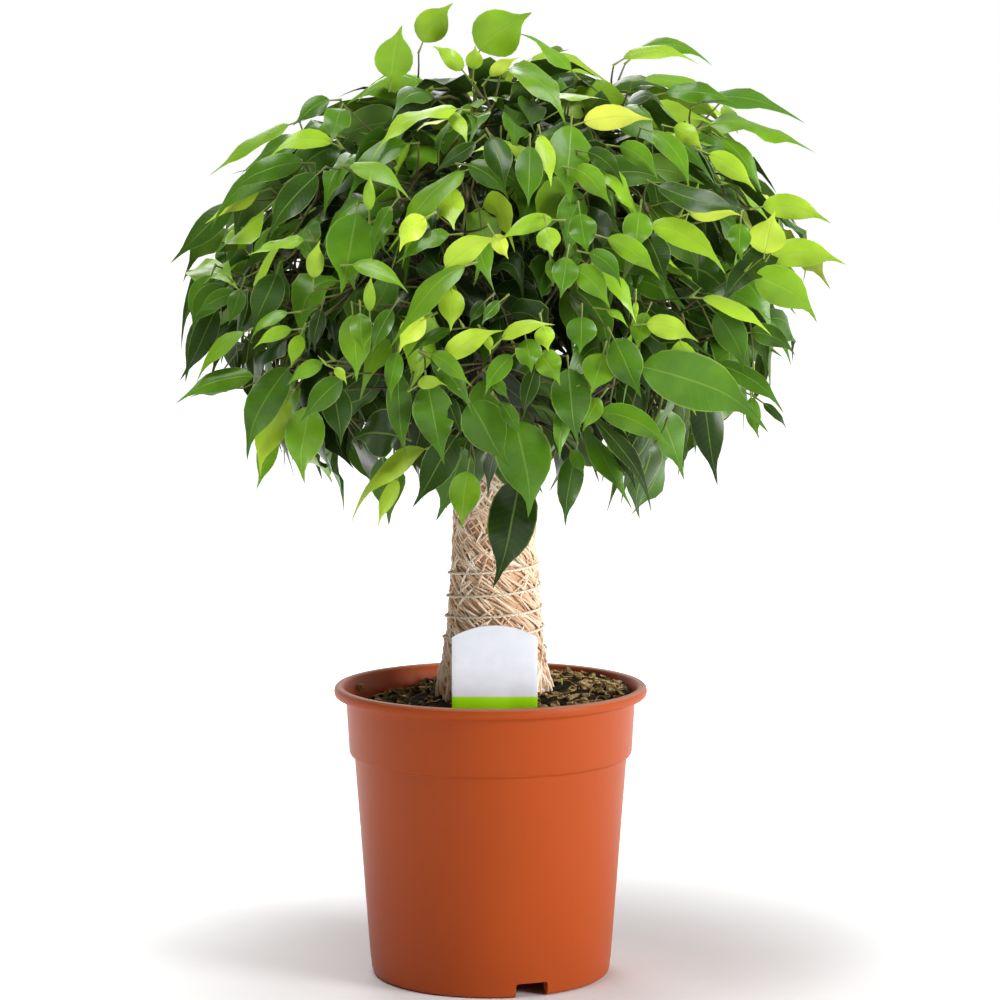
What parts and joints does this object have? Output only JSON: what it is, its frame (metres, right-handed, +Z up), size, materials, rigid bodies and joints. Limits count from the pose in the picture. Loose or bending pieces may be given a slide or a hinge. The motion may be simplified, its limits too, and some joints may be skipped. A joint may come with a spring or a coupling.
{
  "type": "potted weeping fig",
  "caption": "Small round-headed weeping fig with a fibre-wrapped trunk and drooping leaves, standing in a round nursery pot with soil and a plain plant label.",
  "frame": {"origin": "centre of the pot's foot, on the surface it stands on", "axes": "+Z up along the pot's axis, -Y towards the front, where the plant label faces, and +X to the right as seen from the front"},
  "size_m": [0.3516, 0.3361, 0.5045],
  "materials": {
    "pot_plastic": "satin terracotta-coloured plastic",
    "potting_mix": "rough bark and peat mix",
    "fig_bark": "smooth grey-brown bark",
    "plant_fibre": "coarse plaited plant fibre",
    "twine": "pale twisted twine",
    "label_plastic": "smooth white sheet plastic with a green foot band",
    "fig_leaf": "glossy green leaf"
  },
  "bodies": {
    "root": {"pot": "pot_plastic", "soil": "potting_mix", "trunk": "fig_bark", "trunk_wrap": "plant_fibre", "binding_twine": "twine", "plant_label": "label_plastic", "spray_01": "fig_leaf", "spray_02": "fig_leaf", "spray_03": "fig_leaf", "spray_04": "fig_leaf", "spray_05": "fig_leaf", "spray_06": "fig_leaf", "spray_07": "fig_leaf", "spray_08": "fig_leaf", "spray_09": "fig_leaf", "spray_10": "fig_leaf", "spray_11": "fig_leaf", "spray_12": "fig_leaf", "spray_13": "fig_leaf", "spray_14": "fig_leaf", "spray_15": "fig_leaf", "spray_16": "fig_leaf", "spray_17": "fig_leaf", "spray_18": "fig_leaf", "spray_19": "fig_leaf", "spray_20": "fig_leaf", "spray_21": "fig_leaf", "spray_22": "fig_leaf", "spray_23": "fig_leaf", "spray_24": "fig_leaf", "spray_25": "fig_leaf", "spray_26": "fig_leaf", "spray_27": "fig_leaf", "spray_28": "fig_leaf", "spray_29": "fig_leaf", "spray_30": "fig_leaf"}
  },
  "joints": []
}
